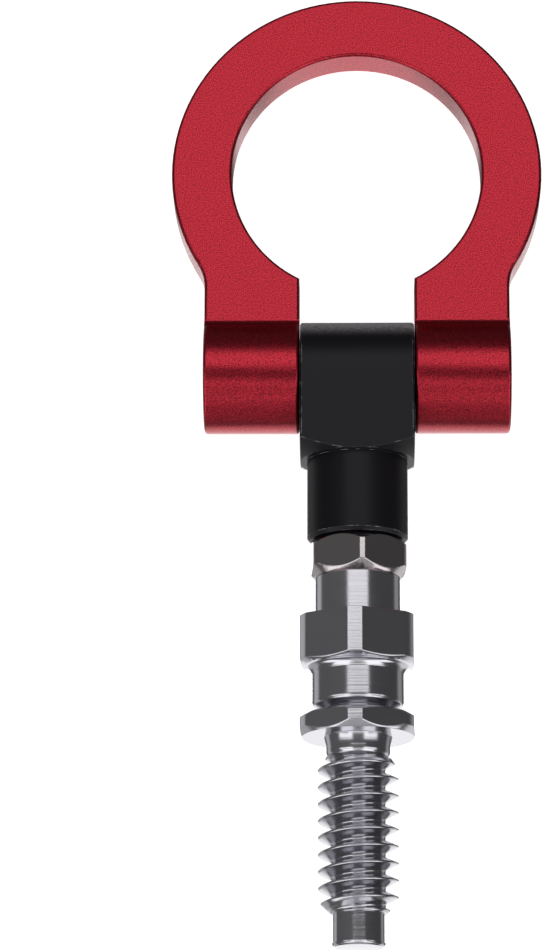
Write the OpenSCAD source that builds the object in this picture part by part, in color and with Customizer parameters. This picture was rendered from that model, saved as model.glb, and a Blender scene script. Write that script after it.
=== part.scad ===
// Folding screw-in tow eye: an aluminium ring on a hinge block, a jam nut and a coarse-thread steel stud.
// X is the hinge axis, Y runs up the stud to the ring and Z is up. The part lies on its back.
// The origin is the centre of the face that seats on the vehicle, under the thin hexagon flange.

/* [Ring] */
// Diameter of the towing hole
hole_d = 52; // [48:0.5:56]
// Width of the ring's band, from the hole to the outside
band_w = 12.5; // [11:0.5:14]
// Thickness of the flat plate that the ring and its legs are cut from
plate_t = 9.5; // [8:0.5:12]
// Distance from the hinge axis to the middle of the hole
ring_rise = 43.5; // [41:0.5:47]
// Width over the two hinge knuckles
foot_w = 63; // [60:0.5:66]
// Outer diameter of the hinge knuckles
knuckle_d = 23; // [22:0.5:26]
// Radius of the blend where a leg runs into the outside of the ring
leg_blend_r = 9; // [6:0.5:11]
// Radius of the blend between the plate's flat faces and a knuckle
knuckle_blend_r = 1.5; // [1:0.25:2.5]
// Rounding of all the ring's outer edges
edge_r = 0.7; // [0.4:0.1:0.9]

/* [Hinge block] */
// Width of the block between the knuckles
block_w = 23.4; // [22:0.2:25]
// Thickness of the block, which is the diameter of its round top too
block_t = 23; // [22:0.5:26]
// Distance from the hinge axis down to the end of the block's square part
block_drop = 18.1; // [17:0.1:20]
// Small chamfer along the block's edges
block_edge = 0.35; // [0.2:0.05:0.5]
// Height of the turned cone that takes off the block's lower corners
shoulder_h = 2.35; // [1.5:0.05:3]
// Diameter at the small end of that cone
shoulder_d = 23.3; // [22.4:0.1:24]
// Diameter of the round collar under the block
collar_d = 20.6; // [20:0.1:22]
// Length of the collar
collar_len = 16.75; // [15:0.25:19]
// Chamfer at the collar's lower edge
collar_chamfer = 0.65; // [0.4:0.05:1]

/* [Pivot bolt] */
// Diameter of the bolt's shank
bolt_d = 10; // [8:0.5:11]
// Diameter of its round socket head
bolt_head_d = 16; // [14:0.5:16.5]
// Height of the head
bolt_head_h = 10; // [8:0.5:11]
// How far the head lies below the end of the knuckle
bolt_recess = 0.6; // [0.2:0.1:1.5]
// Length of the shank under the head
bolt_len = 50; // [46:1:51]
// Size across flats of the hexagon socket
key_af = 8; // [6:0.5:8]
// Depth of the hexagon socket
key_depth = 5.5; // [4:0.5:6]

/* [Jam nut] */
// Size across flats of the jam nut
nut_af = 19; // [18:0.5:20]
// Height of the jam nut
nut_h = 8; // [6:0.5:9]
// Height of the chamfer at the nut's corners
nut_chamfer = 2.1; // [1.2:0.1:2.2]
// Angle by which the nut's front corner is turned
nut_turn = 5.5; // [-30:0.5:30]

/* [Stud] */
// Diameter of the thread that screws into the hinge block
joint_thread_d = 12; // [10:0.5:12.5]
// How far that thread reaches into the block
joint_thread_in = 21.5; // [16:0.5:22]
// Diameter of the neck between the nut and the hexagon
upper_neck_d = 17.4; // [16:0.1:18]
// Length of that neck
upper_neck_len = 8.55; // [6:0.05:11]
// Size across flats of the hexagon and of the thin hexagon flange
hex_af = 23; // [22:0.5:23.5]
// Diameter that the hexagon's corners are turned down to
hex_d = 25; // [24.6:0.1:25.4]
// Length of the hexagon
hex_len = 9.7; // [7:0.1:12]
// Angle by which the hexagon's front corner is turned
hex_turn = -3; // [-30:0.5:30]
// Diameter of the neck under the hexagon
lower_neck_d = 18.7; // [17.6:0.1:19.2]
// Length of that neck
lower_neck_len = 9.05; // [8:0.05:11]
// Rounding of that neck's lower end
neck_round = 2.1; // [1:0.1:2.4]
// Radius of the hollow blend between the hexagon and the lower neck
neck_blend_r = 2; // [1.2:0.1:2.4]
// Diameter of the groove above the flange
groove_d = 14; // [13.8:0.1:14.4]
// Width of the groove
groove_w = 1.05; // [0.6:0.05:3]
// Thickness of the thin hexagon flange
flange_t = 4.6; // [4:0.1:5.4]
// Chamfer under the flange's corners
flange_chamfer = 1.2; // [0.6:0.1:1.4]
// Diameter of the flat face on top of the flange
flange_face_d = 21; // [20:0.1:22.4]
// Height of the cone from that face down to the flange's corners
flange_cone_h = 1.2; // [0.6:0.1:2]
// Diameter of the plain shank under the flange
shank_d = 13; // [12.4:0.1:13.4]
// Diameter that the shank widens to against the flange
shank_top_d = 13.8; // [13.6:0.1:15]
// Length over which it widens
shank_taper = 1.8; // [0.5:0.1:1.9]
// Length of the plain shank
shank_len = 2.9; // [2:0.1:5]

/* [Coarse thread] */
// Outer diameter of the coarse thread
thread_d = 16.4; // [15:0.1:17]
// Diameter at the bottom of the coarse thread
root_d = 11; // [10.8:0.1:12]
// Pitch of the coarse thread, which is right-handed
pitch = 3.43; // [3:0.01:4]
// Length of the threaded stretch
thread_len = 33; // [24:0.5:40]
// Diameter of the pilot at the stud's end
pilot_d = 10.4; // [9.6:0.1:10.6]
// Length of the pilot
pilot_len = 6.7; // [5:0.1:9]

/* [Fits] */
// Play between the block and each knuckle
side_play = 0.2; // [0.1:0.05:0.4]
// Radial play of the bolt in the block's bore
bore_play = 0.08; // [0.03:0.01:0.1]
// Radial gap of a thread in its hole
thread_fit = 0.02; // [0.01:0.01:0.05]
// Radial gap round the bolt's head in its counterbore
head_play = 0.5; // [0.3:0.05:0.7]

/* [Hidden] */
$fn = 96;
over = 1; // how far a cutting shape runs past what it cuts

// heights along the stud, from the seating face
flange_top = flange_t;
neck_bottom = flange_top + groove_w;
hex_bottom = neck_bottom + lower_neck_len;
hex_top = hex_bottom + hex_len;
nut_bottom = hex_top + upper_neck_len;
collar_bottom = nut_bottom + nut_h;
collar_top = collar_bottom + collar_len;
pivot_y = collar_top + block_drop;
ring_y = pivot_y + ring_rise;
stud_top = collar_bottom + joint_thread_in;
thread_top = -shank_len;
thread_end = thread_top - thread_len;
stud_end = thread_end - pilot_len;

// sizes across the ring
hole_r = hole_d / 2;
ring_r = hole_r + band_w;
half_t = plate_t / 2;
ear_in = block_w / 2 + side_play;
ear_out = foot_w / 2;
knuckle_r = knuckle_d / 2;

// centre of the blend between a leg and the ring, and its angle seen from the ring's centre
blend_x = ear_out + leg_blend_r;
blend_y = ring_y - sqrt(pow(ring_r + leg_blend_r, 2) - pow(blend_x, 2));
blend_angle = atan2(blend_y - ring_y, blend_x);

// angle at which the gap between the legs opens into the hole
gap_angle = -acos(ear_in / hole_r);

// centre of the blend between the plate and a knuckle, from the hinge axis
fold_z = half_t + knuckle_blend_r;
fold_y = sqrt(pow(knuckle_r + knuckle_blend_r, 2) - pow(fold_z, 2));
fold_angle = atan2(fold_z, fold_y);

// the bolt, from its head to its tip
bolt_seat_x = ear_out - bolt_recess - bolt_head_h;
bolt_tip_x = bolt_seat_x - bolt_len;
bore_r = bolt_d / 2 + bore_play;
tip_chamfer = 1;

// the coarse thread's section: parts of a pitch at which its flanks turn
crest_half = 0.03;
foot_from_crest = 0.37;
root_from_crest = 0.44;
foot_rise = 0.3;
thread_segments = 60;
runout_top = 4;
runout_end = 2.4;
runout_start = 0.15; // height of the cone's small end above the thread's root
first_crest = -6.08; // height of a crest at the front of the stud

// small turned details of the stud
edge_steps = 4;
round_steps = 6;
edge_clear = 0.25;
fold_steps = 6;
shank_foot = 2.2;
lip_edge = 0.4;
lip_rise = 0.2;
lip_len = 1.6;
hex_round = 1.2;
hex_round_h = 0.5;
hex_edge = 0.15;

// turn a shape made along Z so that it runs up the stud, along Y
module along_stud() {
    rotate([-90, 0, 0]) children();
}

// turn a shape made along Z so that it runs along the hinge axis, along X
module along_hinge() {
    translate([0, pivot_y, 0]) rotate([0, 90, 0]) children();
}

module both_sides() {
    children();
    mirror([1, 0, 0]) children();
}

module both_faces() {
    children();
    mirror([0, 0, 1]) children();
}

// section of the cutter that rounds an edge: the edge is at the origin, its metal below and to the left
module edge_cutter(r) {
    polygon(concat(
        [[0, -r], [edge_clear, -r], [edge_clear, edge_clear], [-r, edge_clear]],
        [for (i = [edge_steps:-1:1]) let (a = 90 * i / edge_steps) [r * (cos(a) - 1), r * (sin(a) - 1)]]
    ));
}

// the cutter led round an arc about Z; an inner edge has its metal outside the arc
module arc_cutter(arc_r, from_a, to_a, inner = false) {
    rotate([0, 0, from_a])
        rotate_extrude(angle = to_a - from_a)
            translate([arc_r, 0])
                mirror([inner ? 1 : 0, 0]) edge_cutter(edge_r);
}

// the cutter led down a straight edge, from the origin along -Y
module line_cutter(len) {
    rotate([90, 0, 0]) linear_extrude(len) edge_cutter(edge_r);
}

// the flat outline of the ring and its legs, down to the hinge axis
module plate_outline() {
    difference() {
        union() {
            translate([0, ring_y]) circle(ring_r);
            translate([-blend_x, pivot_y]) square([2 * blend_x, blend_y - pivot_y]);
            translate([0, ring_y])
                polygon([[0, 0], [blend_x, blend_y - ring_y], [-blend_x, blend_y - ring_y]]);
        }
        translate([0, ring_y]) circle(hole_r);
        translate([-ear_in, pivot_y - over]) square([2 * ear_in, ring_y - pivot_y]);
        both_sides() {
            translate([blend_x, blend_y]) circle(leg_blend_r);
            translate([ear_out, pivot_y - over]) square([leg_blend_r + over, blend_y - pivot_y + over]);
        }
    }
}

// section of the blend between the plate and a knuckle, seen from the side, with the hinge axis at the origin
module fold_section() {
    polygon(concat(
        [[0, 0], [fold_y, 0]],
        [for (i = [0:fold_steps]) let (a = (fold_angle - 90) * i / fold_steps - 90)
            [fold_y + knuckle_blend_r * cos(a), fold_z + knuckle_blend_r * sin(a)]]
    ));
}

// one knuckle with rounded ends, and the blends that carry it into the plate
module knuckle() {
    round_in = knuckle_r - edge_r;
    along_hinge()
        rotate_extrude()
            polygon(concat(
                [[0, ear_in]],
                [for (i = [0:edge_steps]) let (a = 90 * i / edge_steps)
                    [round_in + edge_r * sin(a), ear_in + edge_r * (1 - cos(a))]],
                [for (i = [edge_steps:-1:0]) let (a = 90 * i / edge_steps)
                    [round_in + edge_r * sin(a), ear_out - edge_r * (1 - cos(a))]],
                [[0, ear_out]]
            ));
    both_faces()
        translate([ear_in, pivot_y, 0])
            rotate([90, 0, 90]) linear_extrude(ear_out - ear_in) fold_section();
}

// the cutters that round the edges of one leg and of its blend into the ring
module leg_edge_cutters() {
    leg_foot = pivot_y + fold_y;
    gap_top = ring_y + hole_r * sin(gap_angle) + edge_r;
    both_faces()
        translate([0, 0, half_t]) {
            translate([ear_out, blend_y, 0]) line_cutter(blend_y - leg_foot);
            translate([ear_in, gap_top, 0]) mirror([1, 0, 0]) line_cutter(gap_top - leg_foot);
            translate([blend_x, blend_y, 0])
                mirror([0, 1, 0]) arc_cutter(leg_blend_r, 180, 180 - blend_angle, true);
        }
}

// the cutters that round the ring's outside and its hole
module ring_edge_cutters() {
    both_faces()
        translate([0, ring_y, half_t]) {
            arc_cutter(ring_r, blend_angle, 180 - blend_angle);
            arc_cutter(hole_r, 0, 360, true);
        }
}

// one solid: the ring, its two legs and the hinge knuckles
module tow_ring() {
    color("crimson")
        difference() {
            union() {
                translate([0, 0, -half_t]) linear_extrude(plate_t) plate_outline();
                both_sides() knuckle();
            }
            both_sides() leg_edge_cutters();
            ring_edge_cutters();
            // tapped hole through both knuckles, opened for the head on the right
            along_hinge() {
                translate([0, 0, -ear_out - over]) cylinder(r = bolt_d / 2 + thread_fit, h = foot_w + 2 * over);
                translate([0, 0, bolt_seat_x])
                    cylinder(r = bolt_head_d / 2 + head_play, h = bolt_head_h + bolt_recess + over);
            }
        }
}

// the socket-head bolt that the ring turns on
module pivot_bolt() {
    head_r = bolt_head_d / 2;
    head_edge = 0.8;
    head_top = bolt_seat_x + bolt_head_h;
    color("dimgray")
        along_hinge()
            difference() {
                rotate_extrude()
                    polygon([
                        [0, bolt_tip_x],
                        [bolt_d / 2 - tip_chamfer, bolt_tip_x],
                        [bolt_d / 2, bolt_tip_x + tip_chamfer],
                        [bolt_d / 2, bolt_seat_x],
                        [head_r, bolt_seat_x],
                        [head_r, head_top - head_edge],
                        [head_r - head_edge, head_top],
                        [0, head_top]
                    ]);
                translate([0, 0, head_top - key_depth])
                    cylinder(r = key_af / sqrt(3), h = key_depth + over, $fn = 6);
            }
}

// the block's square part with its round top, before it is turned
module block_blank() {
    side = block_w / 2;
    face = block_t / 2;
    along_hinge()
        rotate_extrude()
            polygon([
                [0, -side], [face - block_edge, -side], [face, -side + block_edge],
                [face, side - block_edge], [face - block_edge, side], [0, side]
            ]);
    translate([0, collar_top, 0])
        along_stud()
            linear_extrude(block_drop)
                polygon([
                    [side, face - block_edge], [side - block_edge, face],
                    [-side + block_edge, face], [-side, face - block_edge],
                    [-side, -face + block_edge], [-side + block_edge, -face],
                    [side - block_edge, -face], [side, -face + block_edge]
                ]);
}

// the shape that turning leaves: collar, cone, then clear of the block's corners
module block_turning() {
    clear_r = block_w;
    cone_rise = (clear_r - shoulder_d / 2) * shoulder_h / (norm([block_w, block_t]) / 2 - shoulder_d / 2);
    along_stud()
        rotate_extrude()
            polygon([
                [0, collar_top],
                [shoulder_d / 2, collar_top],
                [clear_r, collar_top + cone_rise],
                [clear_r, pivot_y + block_t],
                [0, pivot_y + block_t]
            ]);
}

// one solid: hinge block with its round top, cross bore, collar and tapped blind hole
module hinge_block() {
    tap_r = joint_thread_d / 2 + thread_fit;
    tap_depth = joint_thread_in + 1;
    color([0.13, 0.12, 0.13])
        difference() {
            union() {
                intersection() {
                    block_blank();
                    block_turning();
                }
                along_stud()
                    rotate_extrude()
                        polygon([
                            [0, collar_bottom],
                            [collar_d / 2 - collar_chamfer, collar_bottom],
                            [collar_d / 2, collar_bottom + collar_chamfer],
                            [collar_d / 2, collar_top],
                            [0, collar_top]
                        ]);
            }
            along_hinge() cylinder(r = bore_r, h = block_w + 2 * over, center = true);
            translate([0, collar_bottom - over, 0]) along_stud() cylinder(r = tap_r, h = tap_depth + over);
        }
}

// a hexagon bar along the stud, with one corner at the front
module hex_bar(af, from_y, to_y, turn) {
    translate([0, from_y, 0])
        along_stud()
            rotate([0, 0, turn - 90]) cylinder(r = af / sqrt(3), h = to_y - from_y, $fn = 6);
}

module jam_nut() {
    corner_r = nut_af / sqrt(3);
    color([0.72, 0.70, 0.69])
        difference() {
            intersection() {
                hex_bar(nut_af, nut_bottom, collar_bottom, nut_turn);
                along_stud()
                    rotate_extrude()
                        polygon([
                            [0, nut_bottom],
                            [corner_r - nut_chamfer, nut_bottom],
                            [corner_r, nut_bottom + nut_chamfer],
                            [corner_r, collar_bottom - nut_chamfer],
                            [corner_r - nut_chamfer, collar_bottom],
                            [0, collar_bottom]
                        ]);
            }
            translate([0, nut_bottom - over, 0])
                along_stud() cylinder(r = joint_thread_d / 2 + thread_fit, h = nut_h + 2 * over);
        }
}

// the two hexagons of the stud, their corners turned to a circle
module stud_hexes() {
    hex_r = hex_d / 2;
    intersection() {
        hex_bar(hex_af, hex_bottom, hex_top, hex_turn);
        along_stud()
            rotate_extrude()
                polygon([
                    [0, hex_bottom], [hex_r - hex_round, hex_bottom], [hex_r, hex_bottom + hex_round_h],
                    [hex_r, hex_top - hex_edge], [hex_r - hex_edge, hex_top], [0, hex_top]
                ]);
    }
    intersection() {
        hex_bar(hex_af, 0, flange_top, hex_turn);
        along_stud()
            rotate_extrude()
                polygon([
                    [0, 0], [hex_r - flange_chamfer, 0], [hex_r, flange_chamfer],
                    [hex_r, flange_top - flange_cone_h], [flange_face_d / 2, flange_top], [0, flange_top]
                ]);
    }
}

// all of the stud that is turned, from its tip to the thread in the block
module stud_turning() {
    neck_r = lower_neck_d / 2;
    pilot_r = pilot_d / 2;
    blend_r = min(neck_blend_r, hex_af / 2 - neck_r - hex_edge);
    round_r = min(neck_round, neck_r - groove_d / 2 - hex_edge);
    hex_middle = hex_bottom + hex_len / 2;
    along_stud()
        rotate_extrude()
            difference() {
                polygon(concat([
                    [0, stud_end],
                    [pilot_r - lip_edge, stud_end],
                    [pilot_r + lip_rise, stud_end + lip_edge],
                    [pilot_r, stud_end + lip_len],
                    [pilot_r, thread_top - shank_foot],
                    [shank_d / 2, thread_top],
                    [shank_d / 2, -shank_taper],
                    [shank_top_d / 2, 0],
                    [shank_top_d / 2, flange_top / 2],
                    [groove_d / 2, flange_top / 2],
                    [groove_d / 2, neck_bottom]
                ], [for (i = [0:round_steps]) let (a = 90 * i / round_steps)
                    [neck_r - round_r * (1 - sin(a)), neck_bottom + round_r * (1 - cos(a))]
                ], [
                    [neck_r, hex_bottom - blend_r],
                    [neck_r + blend_r, hex_bottom - blend_r],
                    [neck_r + blend_r, hex_middle],
                    [upper_neck_d / 2, hex_middle],
                    [upper_neck_d / 2, nut_bottom],
                    [joint_thread_d / 2, nut_bottom],
                    [joint_thread_d / 2, stud_top - tip_chamfer],
                    [joint_thread_d / 2 - tip_chamfer, stud_top],
                    [0, stud_top]
                ]));
                translate([neck_r + blend_r, hex_bottom - blend_r]) circle(blend_r);
            }
}

// section of the coarse thread over one pitch: part of a pitch, then radius
thread_section = [
    [-crest_half, thread_d / 2],
    [crest_half, thread_d / 2],
    [foot_from_crest, root_d / 2 + foot_rise],
    [root_from_crest, root_d / 2],
    [1 - root_from_crest, root_d / 2],
    [1 - foot_from_crest, root_d / 2 + foot_rise]
];

// the coarse thread as one solid bar, made along Z, which runs on past both ends of the threaded stretch
module thread_bar() {
    per_turn = len(thread_section);
    rows = per_turn * (ceil(thread_len / pitch) + 3) + 1;
    last = thread_segments - 1;
    // the bar starts low enough to reach past the end, with a crest at first_crest on the stud's front
    turns_down = ceil((first_crest - thread_end) / pitch) + 2;
    low_z = first_crest - (turns_down + 0.75) * pitch;
    // a column of points stands at each angle, a little higher than the one before it
    function corner(col, row) = let (
        turn = 360 * col / thread_segments,
        point = thread_section[row % per_turn],
        rise = floor(row / per_turn) + point[0] + col / thread_segments
    ) [point[1] * cos(turn), point[1] * sin(turn), low_z + pitch * rise];
    // after one turn the columns meet the first one again, a whole pitch higher
    function id(col, row) = col <= last ? col * rows + row : row + per_turn;
    low = thread_segments * rows;
    high = low + 1;
    seam = rows - 1 - per_turn;
    polyhedron(
        points = concat(
            [for (col = [0:last], row = [0:rows - 1]) corner(col, row)],
            [[0, 0, low_z - pitch], [0, 0, low_z + pitch * (rows / per_turn + 2)]]
        ),
        faces = concat(
            [for (col = [0:last], row = [0:(col < last ? rows - 2 : seam - 1)])
                each [
                    [id(col, row), id(col, row + 1), id(col + 1, row + 1)],
                    [id(col, row), id(col + 1, row + 1), id(col + 1, row)]
                ]],
            [for (col = [0:last]) [low, id(col, 0), id(col + 1, 0)]],
            [for (row = [0:per_turn - 1]) [low, row + 1, row]],
            [for (col = [0:last - 1]) [high, id(col + 1, rows - 1), id(col, rows - 1)]],
            [for (row = [seam:rows - 2]) [high, id(last, row), id(last, row + 1)]],
            [[high, id(0, rows - 1), id(last, seam)]]
        )
    );
}

// the bar cut to length, with its crests turned down to a cone at both ends
module coarse_thread() {
    start_r = root_d / 2 + runout_start;
    depth = thread_d / 2 - start_r;
    clear = (depth + over) / depth;
    along_stud()
        intersection() {
            thread_bar();
            rotate_extrude()
                polygon([
                    [0, thread_end],
                    [start_r, thread_end],
                    [start_r + depth * clear, thread_end + runout_end * clear],
                    [start_r + depth * clear, thread_top - runout_top * clear],
                    [start_r, thread_top],
                    [0, thread_top]
                ]);
        }
}

// one solid, turned from hexagon bar: thread for the block, necks, hexagon, flange, coarse thread and pilot
module threaded_stud() {
    color("silver") {
        stud_hexes();
        stud_turning();
        coarse_thread();
    }
}

tow_ring();
pivot_bolt();
hinge_block();
jam_nut();
threaded_stud();
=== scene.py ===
import math
from functools import partial

import bmesh
import bpy
from mathutils import Matrix, Vector


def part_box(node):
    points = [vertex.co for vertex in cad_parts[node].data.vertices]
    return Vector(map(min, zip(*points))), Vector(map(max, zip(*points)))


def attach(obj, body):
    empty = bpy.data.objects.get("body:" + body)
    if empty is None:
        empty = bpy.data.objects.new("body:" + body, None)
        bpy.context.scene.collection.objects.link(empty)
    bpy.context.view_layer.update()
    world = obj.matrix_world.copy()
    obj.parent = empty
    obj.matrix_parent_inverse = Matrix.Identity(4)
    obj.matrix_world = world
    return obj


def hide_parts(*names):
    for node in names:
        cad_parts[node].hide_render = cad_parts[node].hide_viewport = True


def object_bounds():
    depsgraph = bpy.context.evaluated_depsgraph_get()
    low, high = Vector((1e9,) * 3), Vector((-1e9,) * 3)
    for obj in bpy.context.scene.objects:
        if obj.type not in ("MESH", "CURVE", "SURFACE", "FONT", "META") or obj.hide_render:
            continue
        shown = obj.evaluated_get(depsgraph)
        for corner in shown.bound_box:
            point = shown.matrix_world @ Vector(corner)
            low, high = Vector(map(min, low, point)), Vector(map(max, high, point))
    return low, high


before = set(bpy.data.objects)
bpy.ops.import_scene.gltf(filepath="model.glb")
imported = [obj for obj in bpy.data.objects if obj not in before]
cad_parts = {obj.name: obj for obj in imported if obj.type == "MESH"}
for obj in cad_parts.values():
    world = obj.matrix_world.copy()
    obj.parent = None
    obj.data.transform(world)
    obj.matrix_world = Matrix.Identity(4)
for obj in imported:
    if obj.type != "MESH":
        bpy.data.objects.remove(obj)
cad_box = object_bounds()
MM = 0.001

# Threaded stud
# One piece of steel turned from hexagon bar and nickel plated: two necks, a hexagon, a thin hexagon
# flange, a plain shank and a pilot. Its upper thread is screwed into the hinge block and hidden there.
STUD_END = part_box("threaded_stud")[0].y / MM
STUD_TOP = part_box("threaded_stud")[1].y / MM
NUT_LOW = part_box("jam_nut")[0].y / MM
BAR_FLATS = 23.0
BAR_CORNER_R = 12.5
STUD_TURN = math.radians(-3)
PILOT_TOP = -5.1
PILOT_R = 5.2
SHANK_LOW = -3.5
SHANK_TOP = -1.8
SHANK_R = 6.5
FLANGE_TOP = 4.6
FLANGE_TOP_R = 10.5
FLANGE_CHAMFER = 1.2
GROOVE_TOP = 5.65
GROOVE_R = 7.0
LOWER_NECK_LOW = 7.1
LOWER_NECK_TOP = 13.0
LOWER_NECK_R = 9.35
HOLLOW_CENTRE = (12.6, 11.3)
HOLLOW_R = 1.95
HEXAGON_LOW = 14.7
HEXAGON_LOW_R = 11.2
HEXAGON_TOP = 24.4
UPPER_NECK_R = 8.7
UPPER_THREAD_R = 6.0
WELD = 1e-7


def soften(outline):
    """The outline with its corners turned into short curves. A point is (height, radius, size of curve)."""
    points = [Vector(p[:2]) for p in outline]
    curve = [points[0]]
    for i in range(1, len(points) - 1):
        size = outline[i][2]
        if size == 0:
            curve.append(points[i])
            continue
        to_last, to_next = points[i - 1] - points[i], points[i + 1] - points[i]
        start = points[i] + to_last.normalized() * min(size, to_last.length * 0.45)
        end = points[i] + to_next.normalized() * min(size, to_next.length * 0.45)
        for t in (0, 1 / 3, 2 / 3, 1):
            curve.append(start * (1 - t) ** 2 + points[i] * 2 * t * (1 - t) + end * t * t)
    curve.append(points[-1])
    return curve


def hexagon_angles(turn, strip, edge, strip_steps, flat_steps=10):
    """Angles round a hexagon bar, with a close pair at each side of the strip turned on a corner."""
    half = math.radians(30)
    offsets = [-half + (half - strip - edge) * i / flat_steps for i in range(flat_steps + 1)]
    offsets += [-strip + edge + 2 * (strip - edge) * i / strip_steps for i in range(strip_steps + 1)]
    offsets += [-o for o in reversed(offsets[1:flat_steps + 1])]
    return [turn + math.radians(60) * corner + offset for corner in range(6) for offset in offsets]


def hexagon_radius(angle, turn, flats, corner_r):
    """Distance from the axis to a hexagon whose corners are turned down to a circle."""
    from_flat = (angle - turn) % math.radians(60) - math.radians(30)
    return min(flats / 2 / math.cos(from_flat), corner_r)


def placed(name, data):
    """A new object in the scene."""
    made = bpy.data.objects.new(name, data)
    bpy.context.scene.collection.objects.link(made)
    return made


def turned_skin(name, angles, section):
    """A closed skin round Y. section(angle) gives (height, radius) points in mm, as many each time."""
    mesh = bmesh.new()
    columns = []
    for angle in angles:
        across = Vector((math.sin(angle), 0, math.cos(angle)))
        columns.append([mesh.verts.new((across * r + Vector((0, y, 0))) * MM) for y, r in section(angle)])
    for left, right in zip(columns, columns[1:] + columns[:1]):
        for i in range(len(left) - 1):
            mesh.faces.new((left[i], right[i], right[i + 1], left[i + 1]))
    bmesh.ops.remove_doubles(mesh, verts=mesh.verts, dist=WELD)
    bmesh.ops.dissolve_degenerate(mesh, edges=mesh.edges, dist=WELD)
    bmesh.ops.recalc_face_normals(mesh, faces=mesh.faces)
    data = bpy.data.meshes.new(name)
    mesh.to_mesh(data)
    mesh.free()
    return placed(name, data)


def evaluated_mesh(piece):
    """The piece's mesh with its modifier applied, which is then taken off."""
    bpy.context.view_layer.update()
    data = bpy.data.meshes.new_from_object(piece.evaluated_get(bpy.context.evaluated_depsgraph_get()))
    piece.modifiers.clear()
    return data


def smooth(piece):
    """Smooth shading: large faces stay flat, and only the narrow ones between them bend the light."""
    piece.data.shade_smooth()
    weigh = piece.modifiers.new("weigh", "WEIGHTED_NORMAL")
    weigh.mode = "FACE_AREA"
    weigh.weight = 100
    old, piece.data = piece.data, evaluated_mesh(piece)
    bpy.data.meshes.remove(old)
    piece.data.name = piece.name


def add_node(tree, kind, *in_order, operation=None, **by_name):
    """A new node. Its inputs take plain values or other nodes' sockets, in order or by name, _ for space."""
    node = tree.nodes.new(kind)
    if operation:
        node.operation = operation
    given = list(zip(node.inputs, in_order))
    given += [(node.inputs[label.replace("_", " ")], value) for label, value in by_name.items()]
    for slot, value in given:
        if isinstance(value, bpy.types.NodeSocket):
            tree.links.new(value, slot)
        else:
            slot.default_value = value
    return node


def surface(name, colour, metal, rough, coat=0.0, coat_rough=0.2):
    """A new material with its shader, whose even values are set on the shader's own sockets."""
    made = bpy.data.materials.new(name)
    made.use_nodes = True
    shader = made.node_tree.nodes["Principled BSDF"]
    shader.inputs["Base Color"].default_value = (*colour, 1)
    shader.inputs["Metallic"].default_value = metal
    shader.inputs["Roughness"].default_value = rough
    shader.inputs["Coat Weight"].default_value = coat
    shader.inputs["Coat Roughness"].default_value = coat_rough
    return made


def add_grain(material, per_metre, strength, depth, rough_low, rough_high):
    """Bump and uneven gloss from a noise in the object's coordinates, as fine along X, Y and Z as given."""
    tree = material.node_tree
    shader = tree.nodes["Principled BSDF"]
    where = tree.nodes.new("ShaderNodeTexCoord").outputs["Object"]
    fit = add_node(tree, "ShaderNodeMapping", where, Scale=per_metre)
    noise = add_node(tree, "ShaderNodeTexNoise", fit.outputs["Vector"], Scale=1, Detail=2)
    bump = add_node(tree, "ShaderNodeBump", Strength=strength, Distance=depth, Height=noise.outputs[0])
    gloss = add_node(tree, "ShaderNodeMapRange", noise.outputs[0], To_Min=rough_low, To_Max=rough_high)
    tree.links.new(bump.outputs["Normal"], shader.inputs["Normal"])
    tree.links.new(gloss.outputs[0], shader.inputs["Roughness"])


def stud_section(angle):
    """Outline of the stud's turned form at one angle, from its tip up to its hidden end."""
    bar = hexagon_radius(angle, STUD_TURN, BAR_FLATS, BAR_CORNER_R)
    flange_face = min(BAR_CORNER_R - FLANGE_CHAMFER, bar)
    height, radius = HOLLOW_CENTRE
    sweep = [math.radians(a) for a in range(24, 85, 6)]
    hollow = [(height + HOLLOW_R * math.sin(a), radius - HOLLOW_R * math.cos(a), 0) for a in sweep]
    pilot = [
        (STUD_END, 0, 0),
        (STUD_END, PILOT_R - 0.4, 0.1),
        (STUD_END + 0.3, PILOT_R + 0.05, 0.06),
        (STUD_END + 0.8, PILOT_R + 0.22, 0.04),
        (STUD_END + 0.86, PILOT_R, 0),
        (PILOT_TOP, PILOT_R, 0.3),
    ]
    shank = [(SHANK_LOW, SHANK_R, 0.5), (SHANK_TOP, SHANK_R, 0.8), (0, SHANK_R + 0.4, 0.1)]
    flange = [
        (0, flange_face, 0.12),
        (bar - flange_face, bar, 0.14),
        (FLANGE_TOP - 0.6 * (bar - FLANGE_TOP_R), bar, 0.14),
        (FLANGE_TOP, FLANGE_TOP_R, 0.2),
        (FLANGE_TOP, GROOVE_R, 0.2),
    ]
    lower_neck = [
        (GROOVE_TOP, GROOVE_R + 0.45, 0.2),
        (LOWER_NECK_LOW - 0.65, LOWER_NECK_R - 0.24, 0.2),
        (LOWER_NECK_LOW, LOWER_NECK_R, 0.2),
        (LOWER_NECK_TOP, LOWER_NECK_R, 0.1),
    ]
    hexagon = [
        (HEXAGON_LOW + 0.42 * (bar - HEXAGON_LOW_R), bar, 0.14),
        (HEXAGON_TOP, bar, 0.14),
        (HEXAGON_TOP, UPPER_NECK_R, 0.25),
    ]
    upper_neck = [(NUT_LOW, UPPER_NECK_R, 0.2), (NUT_LOW, UPPER_THREAD_R, 0)]
    hidden_end = [(STUD_TOP - 1, UPPER_THREAD_R, 0), (STUD_TOP, UPPER_THREAD_R - 1, 0), (STUD_TOP, 0, 0)]
    return soften(pilot + shank + flange + lower_neck + hollow + hexagon + upper_neck + hidden_end)


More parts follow.
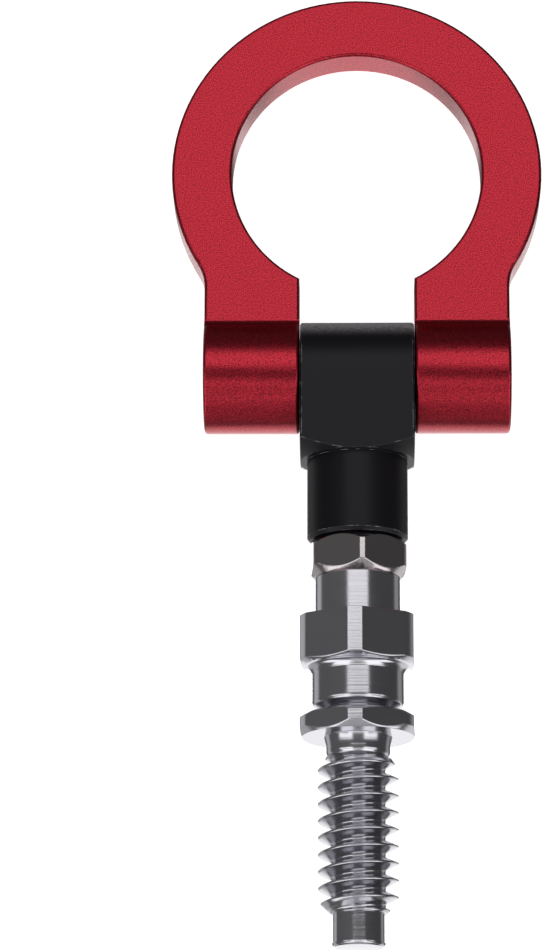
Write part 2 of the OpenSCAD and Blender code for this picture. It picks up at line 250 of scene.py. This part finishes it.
stud_strip = math.radians(30) - math.acos(BAR_FLATS / 2 / BAR_CORNER_R)
stud = turned_skin("stud", hexagon_angles(STUD_TURN, stud_strip, math.radians(0.45), 6), stud_section)
NICKEL = (0.60, 0.59, 0.63)
plated = surface("nickel_plated_steel", NICKEL, 1.0, 0.22)
add_grain(plated, (80, 2600, 80), 0.4, 0.00003, 0.12, 0.24)
stud.data.materials.append(plated)
smooth(stud)
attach(stud, "base")
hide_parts("threaded_stud")

# Coarse thread of the stud
# The skin of the stud's lower thread, cut right-handed on the same plated bar. Its sharp crests are
# turned down to a cone at both ends, and its narrow roots lie just outside the stud's own skin.
THREAD = {
    "Outer radius": 8.2,
    "Root radius": 5.5,
    "Hidden radius": 4.9,
    "Pitch": 3.43,
    "Turns": 12.0,
    "Crest height": -6.08,
    "Top": -2.9,
    "End": -35.9,
    "Top runout": 4.0,
    "End runout": 2.4,
    "Runout step": 0.15,
    "Steps across a turn": 20,
    "Steps round": 144,
}
MARKED_CREST = 1.5
TOOTH = ((0, 1), (0.06, 1), (0.74, 0.115), (0.88, 0), (1, 0))


def math_node(tree, operation, *values):
    """The result of a math node on plain numbers and sockets."""
    return add_node(tree, "ShaderNodeMath", *values, operation=operation).outputs[0]


def thread_nodes():
    """Node tree that bends a flat grid into the thread: X runs along its turns, and Y round each turn."""
    tree = bpy.data.node_groups.new("coarse_thread", "GeometryNodeTree")
    for label, value in THREAD.items():
        kind = "NodeSocketInt" if isinstance(value, int) else "NodeSocketFloat"
        tree.interface.new_socket(label, in_out="INPUT", socket_type=kind).default_value = value
    tree.interface.new_socket("Material", in_out="INPUT", socket_type="NodeSocketMaterial")
    tree.interface.new_socket("Geometry", in_out="OUTPUT", socket_type="NodeSocketGeometry")
    given = tree.nodes.new("NodeGroupInput").outputs
    calculate = partial(math_node, tree)

    columns = calculate("ADD", calculate("MULTIPLY", given["Steps across a turn"], given["Turns"]), 1)
    rows = calculate("ADD", given["Steps round"], 1)
    grid = add_node(tree, "GeometryNodeMeshGrid", Size_X=1, Size_Y=1, Vertices_X=columns, Vertices_Y=rows)
    position = tree.nodes.new("GeometryNodeInputPosition").outputs[0]
    place = add_node(tree, "ShaderNodeSeparateXYZ", position)

    # how many turns along the thread, and what part of a turn round it, a point lies; Crest height
    # places the crest that is MARKED_CREST turns along
    along = calculate("MULTIPLY", calculate("SUBTRACT", 0.5, place.outputs["X"]), given["Turns"])
    part_round = calculate("ADD", place.outputs["Y"], 0.5)
    angle = calculate("MULTIPLY", part_round, 2 * math.pi)
    from_crest = calculate("ABSOLUTE", calculate("SUBTRACT", calculate("FRACT", along), 0.5))
    climb = calculate("SUBTRACT", part_round, calculate("SUBTRACT", along, MARKED_CREST))
    height = calculate("MULTIPLY_ADD", climb, given["Pitch"], given["Crest height"])

    # how deep the tooth is cut, from its crest at 0 to its root at 1
    tooth = add_node(tree, "ShaderNodeFloatCurve", Value=calculate("MULTIPLY", from_crest, 2))
    points = tooth.mapping.curves[0].points
    points[0].location, points[1].location = TOOTH[0], TOOTH[-1]
    for x, y in TOOTH[1:-1]:
        points.new(x, y)
    for point in points:
        point.handle_type = "VECTOR"
    tooth.mapping.update()
    depth = calculate("SUBTRACT", given["Outer radius"], given["Root radius"])
    cut = calculate("MULTIPLY_ADD", tooth.outputs[0], depth, given["Root radius"])

    # the cones that the crests are turned down to; past both ends the skin dives inside the stud
    past_end = calculate("DIVIDE", calculate("SUBTRACT", height, given["End"]), given["End runout"])
    past_top = calculate("DIVIDE", calculate("SUBTRACT", given["Top"], height), given["Top runout"])
    cone_foot = calculate("ADD", given["Root radius"], given["Runout step"])
    end_cone = calculate("MULTIPLY_ADD", past_end, depth, cone_foot)
    top_cone = calculate("MULTIPLY_ADD", past_top, depth, cone_foot)
    turned = calculate("MINIMUM", calculate("MINIMUM", cut, end_cone), top_cone)
    radius = calculate("MAXIMUM", turned, given["Hidden radius"])

    across = calculate("MULTIPLY", calculate("SINE", angle), radius)
    kept_height = calculate("MAXIMUM", height, given["End"])
    up = calculate("MULTIPLY", calculate("COSINE", angle), radius)
    spot = add_node(tree, "ShaderNodeCombineXYZ", across, kept_height, up)
    metres = add_node(tree, "ShaderNodeVectorMath", spot.outputs[0], operation="SCALE", Scale=MM)
    bent = add_node(tree, "GeometryNodeSetPosition", grid.outputs["Mesh"], Position=metres.outputs[0])
    joined = add_node(tree, "GeometryNodeMergeByDistance", bent.outputs[0], Distance=2e-6)
    faced_out = add_node(tree, "GeometryNodeFlipFaces", joined.outputs[0])
    real = add_node(tree, "GeometryNodeRealizeInstances", faced_out.outputs[0])
    painted = add_node(tree, "GeometryNodeSetMaterial", real.outputs[0], Material=given["Material"])
    add_node(tree, "NodeGroupOutput", painted.outputs[0])
    return tree


def grown(name, tree, material):
    """A plain mesh piece made by a node tree of its own, in the given material."""
    piece = placed(name, bpy.data.meshes.new(name + "_seed"))
    grow = piece.modifiers.new("grow", "NODES")
    grow.node_group = tree
    sockets = {s.name: s.identifier for s in tree.interface.items_tree if s.in_out == "INPUT"}
    grow[sockets["Material"]] = material
    piece.data = evaluated_mesh(piece)
    return piece


thread_plated = surface("nickel_plated_thread", NICKEL, 1.0, 0.2)
add_grain(thread_plated, (600, 600, 600), 0.15, 0.00002, 0.12, 0.24)
thread = grown("coarse_thread", thread_nodes(), thread_plated)
smooth(thread)
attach(thread, "base")

# Jam nut
# A thin M12 nut of nickel-plated steel, chamfered on both faces. It runs on the stud's upper thread and
# is tightened against the hinge block's collar.
NUT_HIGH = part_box("jam_nut")[1].y / MM
NUT_FLATS = 19.0
NUT_CORNER_R = NUT_FLATS / math.sqrt(3)
NUT_CORNER_CUT = 0.3
NUT_FACE_R = NUT_CORNER_R - 2.1
NUT_BORE_R = 6.02
NUT_COUNTERSINK = 0.5
NUT_TURN = math.radians(5.5)


def nut_section(angle):
    """Outline of the nut at one angle, round from its bore to its flats and back."""
    bar = hexagon_radius(angle, NUT_TURN, NUT_FLATS, NUT_CORNER_R - NUT_CORNER_CUT)
    chamfer = bar - NUT_FACE_R
    return soften([
        (NUT_LOW + NUT_COUNTERSINK, NUT_BORE_R, 0),
        (NUT_LOW, NUT_BORE_R + NUT_COUNTERSINK, 0.1),
        (NUT_LOW, NUT_FACE_R, 0.12),
        (NUT_LOW + chamfer, bar, 0.16),
        (NUT_HIGH - chamfer, bar, 0.16),
        (NUT_HIGH, NUT_FACE_R, 0.12),
        (NUT_HIGH, NUT_BORE_R + NUT_COUNTERSINK, 0.1),
        (NUT_HIGH - NUT_COUNTERSINK, NUT_BORE_R, 0),
        (NUT_LOW + NUT_COUNTERSINK, NUT_BORE_R, 0),
    ])


nut_angles = hexagon_angles(NUT_TURN, math.radians(3), math.radians(0.5), 4)
nut = turned_skin("jam_nut_dressed", nut_angles, nut_section)
nut_plating = surface("nickel_plated_nut", (0.53, 0.485, 0.495), 1.0, 0.2)
add_grain(nut_plating, (1400, 1400, 1400), 0.35, 0.00006, 0.1, 0.22)
nut.data.materials.append(nut_plating)
smooth(nut)
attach(nut, "base")
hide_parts("jam_nut")

# Hinge block
# One piece of aluminium, milled round at the top, turned to a collar below and anodised satin black. The
# pivot bolt passes through it. The imported solid shows as it is, with a finer surface.
# how far below the top the painted highlight on the rounded top fades out
TOP_HIGHLIGHT_REACH = 6 * MM
WORN_EDGE = 0.18 * MM
# grey of bare aluminium at worn edges, also the colour of the painted highlight on the top
BARE_METAL_OR_HIGHLIGHT_GREY = (0.8, 0.8, 0.84, 1)
block_black = surface("black_anodised", (0.005, 0.0045, 0.007), 0.0, 0.4)
block_black.node_tree.nodes["Principled BSDF"].inputs["Specular IOR Level"].default_value = 0.24
add_grain(block_black, (2500, 2500, 2500), 0.25, 0.00003, 0.34, 0.46)


def add_wear_and_top_highlight(material, top):
    """Specks of bare metal along sharp edges, which are wear, and a painted highlight: a mottled grey on the
    rounded top that fades downwards, in place of the light that the top reflects.
    """
    tree = material.node_tree
    base_colour = tree.nodes["Principled BSDF"].inputs["Base Color"]
    where = tree.nodes.new("ShaderNodeTexCoord").outputs["Object"]
    height = add_node(tree, "ShaderNodeSeparateXYZ", where).outputs["Y"]
    # painted highlight: the rounded top is coloured lighter grey towards its top, mottled by noise, in place
    # of reflected light
    near_top = add_node(tree, "ShaderNodeMapRange", height, From_Min=top - TOP_HIGHLIGHT_REACH, From_Max=top)
    near_top.interpolation_type = "SMOOTHERSTEP"
    grains = add_node(tree, "ShaderNodeTexNoise", where, Scale=1800)
    painted_top_highlight = math_node(tree, "MULTIPLY", near_top.outputs[0], grains.outputs[0])

    # an edge is where the normal of a small bevel leaves the normal of the face
    bevel = add_node(tree, "ShaderNodeBevel", Radius=WORN_EDGE)
    face = tree.nodes.new("ShaderNodeNewGeometry").outputs["Normal"]
    agree = add_node(tree, "ShaderNodeVectorMath", bevel.outputs[0], face, operation="DOT_PRODUCT")
    on_edge = add_node(tree, "ShaderNodeMapRange", agree.outputs["Value"], From_Min=0.995, From_Max=0.96)
    patches = add_node(tree, "ShaderNodeTexNoise", where, Scale=500)
    worn = add_node(tree, "ShaderNodeMapRange", patches.outputs[0],
                    From_Min=0.5, From_Max=0.62, To_Min=0.05, To_Max=0.5)
    # bare metal where edges are worn, plus the painted highlight on the top
    bare_or_highlit = math_node(tree, "MULTIPLY_ADD", on_edge.outputs[0], worn.outputs[0], painted_top_highlight)

    mix = tree.nodes.new("ShaderNodeMix")
    mix.data_type = "RGBA"
    dyed, worn_or_highlit = [slot for slot in mix.inputs if slot.type == "RGBA"]
    dyed.default_value = base_colour.default_value
    worn_or_highlit.default_value = BARE_METAL_OR_HIGHLIGHT_GREY
    tree.links.new(bare_or_highlit, mix.inputs["Factor"])
    tree.links.new([slot for slot in mix.outputs if slot.type == "RGBA"][0], base_colour)


def repaint(node, material):
    """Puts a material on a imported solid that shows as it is."""
    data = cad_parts[node].data
    data.materials.clear()
    data.materials.append(material)


# the block's black dye, with worn edges and a painted highlight on its rounded top
add_wear_and_top_highlight(block_black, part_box("hinge_block")[1].y)
repaint("hinge_block", block_black)

# Towing ring
# One piece of aluminium, cut from plate with its two hinge knuckles, bead-blasted and anodised red. It
# folds on the pivot bolt, with one knuckle on each side of the hinge block.
BLAST_PER_METRE = 4200
ring_red = surface("red_anodised", (0.42, 0.016, 0.032), 1.0, 0.36, 0.25, 0.3)
add_grain(ring_red, (BLAST_PER_METRE,) * 3, 0.4, 0.00005, 0.24, 0.34)


def add_speckle(material, per_metre, low, high):
    """Fine light and dark grains in the colour, as a blasted surface has under its dye."""
    tree = material.node_tree
    base_colour = tree.nodes["Principled BSDF"].inputs["Base Color"]
    where = tree.nodes.new("ShaderNodeTexCoord").outputs["Object"]
    noise = add_node(tree, "ShaderNodeTexNoise", where, Scale=per_metre, Detail=1)
    gain = add_node(tree, "ShaderNodeMapRange", noise.outputs[0],
                    From_Min=0.3, From_Max=0.7, To_Min=low, To_Max=high)
    dye = base_colour.default_value[:3]
    tint = add_node(tree, "ShaderNodeVectorMath", dye, operation="SCALE", Scale=gain.outputs[0])
    tree.links.new(tint.outputs[0], base_colour)


def welded_copy(node, name):
    """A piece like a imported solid, with its loose triangles joined so that it can be shaded smooth."""
    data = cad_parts[node].data.copy()
    data.name = name
    data.materials.clear()
    if data.has_custom_normals:
        data.attributes.remove(data.attributes["custom_normal"])
    mesh = bmesh.new()
    mesh.from_mesh(data)
    bmesh.ops.remove_doubles(mesh, verts=mesh.verts, dist=WELD)
    mesh.to_mesh(data)
    mesh.free()
    return placed(name, data)


add_speckle(ring_red, BLAST_PER_METRE, 0.35, 1.65)
ring = welded_copy("tow_ring", "ring")
ring.data.materials.append(ring_red)
smooth(ring)
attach(ring, "ring")
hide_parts("tow_ring")

# Pivot bolt
# A socket-head bolt of black steel. Its head lies in the right knuckle's counterbore, and its thread in
# the left knuckle holds the ring on the block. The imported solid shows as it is.
bolt_black = surface("black_oxide", (0.04, 0.04, 0.042), 0.6, 0.35)
add_grain(bolt_black, (2500, 2500, 2500), 0.2, 0.00003, 0.3, 0.42)
repaint("pivot_bolt", bolt_black)

# Floor, light and camera
# The part lies on its back on a white sheet in a dim studio, seen from above, a little from the stud's
# end. One soft box hangs beyond the ring, and the world holds the panels that the plated steel mirrors.
SHEET_REACH = 4.0
SHEET_GLOW = 0.82
sheet_corners = [(-1, -1), (1, -1), (1, 1), (-1, 1)]
sheet_mesh = bpy.data.meshes.new("sheet")
sheet_mesh.from_pydata([(x * SHEET_REACH, y * SHEET_REACH, cad_box[0].z) for x, y in sheet_corners],
                       [], [(0, 1, 2, 3)])
sheet = placed("sheet", sheet_mesh)
sheet_white = surface("white_sheet", (0.8, 0.8, 0.8), 0.0, 0.9)
paper = sheet_white.node_tree
paper_shader = paper.nodes["Principled BSDF"].inputs
seen = paper.nodes.new("ShaderNodeLightPath").outputs["Is Camera Ray"]
paper_shader["Emission Color"].default_value = (1, 1, 1, 1)
paper_shader["Specular IOR Level"].default_value = 0
paper.links.new(math_node(paper, "MULTIPLY", seen, SHEET_GLOW), paper_shader["Emission Strength"])
sheet_mesh.materials.append(sheet_white)
sheet.visible_glossy = False

PIVOT = Vector((0, (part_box("pivot_bolt")[0].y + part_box("pivot_bolt")[1].y) / 2, 0))
LAMP_TILT = math.radians(24.5)
LAMP_DISTANCE = 0.8
LAMP_WIDTH = math.radians(54)
LAMP_HEIGHT = math.radians(35)
LAMP_RADIANCE = 1.15
lamp = bpy.data.lights.new("far_box", "AREA")
lamp.shape = "RECTANGLE"
lamp.size = 2 * LAMP_DISTANCE * math.tan(LAMP_WIDTH / 2)
lamp.size_y = 2 * LAMP_DISTANCE * math.tan(LAMP_HEIGHT / 2)
lamp.energy = LAMP_RADIANCE * math.pi * lamp.size * lamp.size_y
to_lamp = Vector((0, math.sin(LAMP_TILT), math.cos(LAMP_TILT)))
lamp_turn = to_lamp.to_track_quat("Z", "Y").to_matrix().to_4x4()
placed("far_box", lamp).matrix_world = Matrix.Translation(PIVOT + to_lamp * LAMP_DISTANCE) @ lamp_turn

world = bpy.data.worlds.new("studio")
bpy.context.scene.world = world
world.use_nodes = True
studio = world.node_tree
calculate = partial(math_node, studio)
direction = studio.nodes.new("ShaderNodeTexCoord").outputs["Generated"]
way = add_node(studio, "ShaderNodeSeparateXYZ", direction)
round_y = calculate("ARCTAN2", way.outputs["X"], way.outputs["Z"])
from_above = calculate("DEGREES", calculate("ABSOLUTE", round_y))
towards_ring = calculate("DEGREES", calculate("ARCSINE", way.outputs["Y"]))


def ramp(value, start, full, low, high):
    """A soft step from low to high between two values."""
    step = add_node(studio, "ShaderNodeMapRange", value,
                    From_Min=start, From_Max=full, To_Min=low, To_Max=high)
    step.interpolation_type = "SMOOTHSTEP"
    return step.outputs[0]


def panel(under, light, side, half_side, end, half_end, soft=4):
    """
    A panel of the given light on both sides of the part, over what lies under it. In degrees: side from
    straight up round Y, end from the middle towards the ring, half its size each way, and its soft edge.
    """
    off_side = calculate("ABSOLUTE", calculate("SUBTRACT", from_above, side))
    off_end = calculate("ABSOLUTE", calculate("SUBTRACT", towards_ring, end))
    past_side = calculate("SUBTRACT", off_side, half_side)
    past_end = calculate("SUBTRACT", off_end, half_end)
    inside = ramp(calculate("MAXIMUM", past_side, past_end), soft, -soft, 0, 1)
    return calculate("MULTIPLY_ADD", inside, calculate("SUBTRACT", light, under), under)


# the dim room, with a light strip low along both sides and a pale wall past the stud's end
level = ramp(way.outputs["X"], -0.8, 0.8, 0.12, 0.07)
strips = ramp(way.outputs["X"], -0.5, 0.5, 0.55, 0.34)
level = panel(level, strips, side=129, half_side=12, end=5, half_end=35)
level = panel(level, 0.45, side=90, half_side=95, end=-78, half_end=16)
# the table below, brighter to the right, with the lit sheet under the part
table = ramp(way.outputs["X"], -0.4, 0.4, 0.5, 0.9)
level = panel(level, table, side=180, half_side=52, end=-22, half_end=14)
level = panel(level, 1.2, side=180, half_side=19, end=-24, half_end=22, soft=2)
level = panel(level, 1.9, side=180, half_side=19, end=7, half_end=10, soft=2)
# the lamps high on both sides, with a dark bar across them
level = panel(level, 1.6, side=60, half_side=62, end=-54, half_end=9)
level = panel(level, 1.6, side=44, half_side=24, end=-27, half_end=22)
level = panel(level, 0.15, side=58, half_side=24, end=-21.5, half_end=4, soft=2)
# the ceiling behind the camera, the camera itself and the photographer's dark front
level = panel(level, 0.65, side=0, half_side=20, end=-48, half_end=22)
level = panel(level, 1.2, side=0, half_side=30, end=-25, half_end=5)
level = panel(level, 0.25, side=0, half_side=9, end=-39, half_end=5)
level = panel(level, 0.14, side=0, half_side=19, end=-8, half_end=9, soft=3)
background = studio.nodes["Background"].inputs
background["Color"].default_value = (1, 1, 1, 1)
studio.links.new(level, background["Strength"])

camera_data = bpy.data.cameras.new("camera")
camera_data.sensor_fit = "VERTICAL"
camera_data.sensor_height = 24
camera_data.lens = 104.93
camera_data.clip_start = 0.01
camera = placed("camera", camera_data)
bpy.context.scene.camera = camera
camera.location = (-0.00109, -0.17818, 0.81939)
pitch, roll, yaw = 0.2774, 0.0188, -0.0027
camera_turn = Matrix.Rotation(pitch, 3, "X") @ Matrix.Rotation(roll, 3, "Y") @ Matrix.Rotation(yaw, 3, "Z")
camera.rotation_euler = camera_turn.to_euler()

bpy.context.scene.view_settings.view_transform = "Standard"
bpy.context.view_layer.update()
